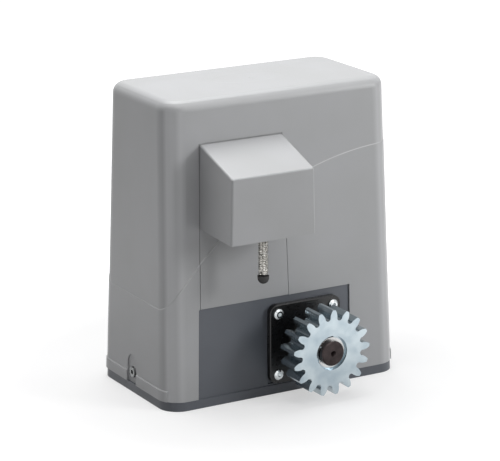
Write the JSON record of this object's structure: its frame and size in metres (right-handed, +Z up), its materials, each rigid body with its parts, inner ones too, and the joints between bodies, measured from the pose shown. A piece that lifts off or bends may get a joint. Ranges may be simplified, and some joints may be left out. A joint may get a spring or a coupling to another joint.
{
  "type": "sliding gate motor",
  "caption": "Sliding gate operator: vertical worm gear motor on a cast foot with a front spur pinion, a sprung limit lever under a hood and a lift-off moulded cover.",
  "frame": {"origin": "middle of the foot's flat underside", "axes": "+Z up out of the foot, -Y towards the gate, along the output shaft to its pinion, +X to the right seen from the gate side"},
  "size_m": [0.2336, 0.1784, 0.267],
  "materials": {
    "grey_casting": "powder-coated aluminium casting",
    "grey_plastic": "fine-textured moulded ABS",
    "black_metal": "satin black",
    "black_rubber": "matt",
    "zinc_screws": "zinc plated",
    "zinc_plate": "zinc plated sheet",
    "bearing_steel": "ground",
    "bare_aluminium": "as cast",
    "core_steel": "laminated",
    "copper_wire": "varnished copper",
    "white_plastic": "moulded",
    "dark_plastic": "moulded",
    "green_board": "solder mask",
    "green_terminal": "moulded",
    "black_oxide_steel": "black oxide",
    "zinc_pinion": "blue-bright zinc plate",
    "bright_steel": "bright",
    "bronze": "turned bronze",
    "spring_steel": "bright wire"
  },
  "bodies": {
    "drive_unit": {"base_casting": "grey_casting", "cable_grommet": "black_rubber", "bearing_flange": "black_metal", "flange_screws": "zinc_screws", "shaft_seal": "black_rubber", "output_bearing_front": "bearing_steel", "output_bearing_rear": "bearing_steel", "gearbox_rear_cover": "bare_aluminium", "rear_cover_screws": "zinc_screws", "rotor_bearings": "bearing_steel", "motor_lower_shield": "bare_aluminium", "motor_shell": "bare_aluminium", "stator_core": "core_steel", "stator_windings": "copper_wire", "motor_upper_shield": "bare_aluminium", "motor_bolts": "zinc_screws", "capacitor": "white_plastic", "capacitor_clamp": "zinc_plate", "board_carrier": "dark_plastic", "control_board": "green_board", "relays": "dark_plastic", "terminal_blocks": "green_terminal", "transformer": "core_steel", "limit_hood": "grey_plastic", "hood_screws": "zinc_screws", "limit_bush": "white_plastic", "limit_switches": "dark_plastic", "switch_plate": "zinc_plate", "levelling_screws": "zinc_screws"},
    "output": {"output_shaft": "black_oxide_steel", "drive_pinion": "zinc_pinion", "drive_keys": "bright_steel", "pinion_circlip": "bright_steel", "worm_wheel": "bronze", "wheel_retaining_ring": "bright_steel"},
    "rotor": {"worm_shaft": "bright_steel", "rotor_core": "core_steel"},
    "limit_lever": {"limit_pivot": "bright_steel", "limit_cam": "white_plastic", "spring_holder": "dark_plastic", "limit_spring": "spring_steel", "spring_tip": "black_rubber"},
    "left_button": {"left_switch_button": "white_plastic"},
    "right_button": {"right_switch_button": "white_plastic"},
    "cover": {"top_cover": "grey_plastic", "cover_screws": "zinc_screws", "cover_screw_nuts": "zinc_screws"},
    "release_knob_body": {"release_knob": "dark_plastic"},
    "lock": {"key_cylinder": "bright_steel"},
    "release_rod_body": {"release_rod": "bright_steel"}
  },
  "joints": [
    {"name": "motor_spin", "type": "hinge", "parent": "drive_unit", "child": "rotor", "pos_m": [-0.0251, -0.005, 0.0454], "axis": [0, 0, 1], "continuous": true},
    {"name": "output_spin", "type": "hinge", "parent": "drive_unit", "child": "output", "pos_m": [0.0179, -0.005, 0.0454], "axis": [0, 1, 0], "continuous": true},
    {"name": "limit_swing", "type": "hinge", "parent": "drive_unit", "child": "limit_lever", "pos_m": [-0.042, -0.0975, 0.2], "axis": [0, 1, 0], "range_deg": [-30, 30], "stiffness_Nm_per_rad": 0.05},
    {"name": "left_button_press", "type": "slide", "parent": "drive_unit", "child": "left_button", "axis": [-1, 0, 0], "range_m": [0, 0.0008], "stiffness_N_per_m": 300},
    {"name": "right_button_press", "type": "slide", "parent": "drive_unit", "child": "right_button", "axis": [1, 0, 0], "range_m": [0, 0.0008], "stiffness_N_per_m": 300},
    {"name": "cover_lift", "type": "slide", "parent": "drive_unit", "child": "cover", "axis": [0, 0, 1], "range_m": [0, 0.28]},
    {"name": "release_turn", "type": "hinge", "parent": "drive_unit", "child": "release_knob_body", "pos_m": [0.0179, 0.05754, 0.0454], "axis": [0, 1, 0], "range_deg": [0, 90]},
    {"name": "key_turn", "type": "hinge", "parent": "release_knob_body", "child": "lock", "pos_m": [0.0179, 0.05754, 0.0454], "axis": [0, 1, 0], "range_deg": [0, 90]},
    {"name": "rod_push", "type": "slide", "parent": "drive_unit", "child": "release_rod_body", "axis": [0, -1, 0], "range_m": [0, 0.004]}
  ],
  "couplings": [
    {"joint": "output_spin", "follows": "motor_spin", "ratio": -0.030303},
    {"joint": "rod_push", "follows": "release_turn", "m_per_rad": 0.002546}
  ]
}
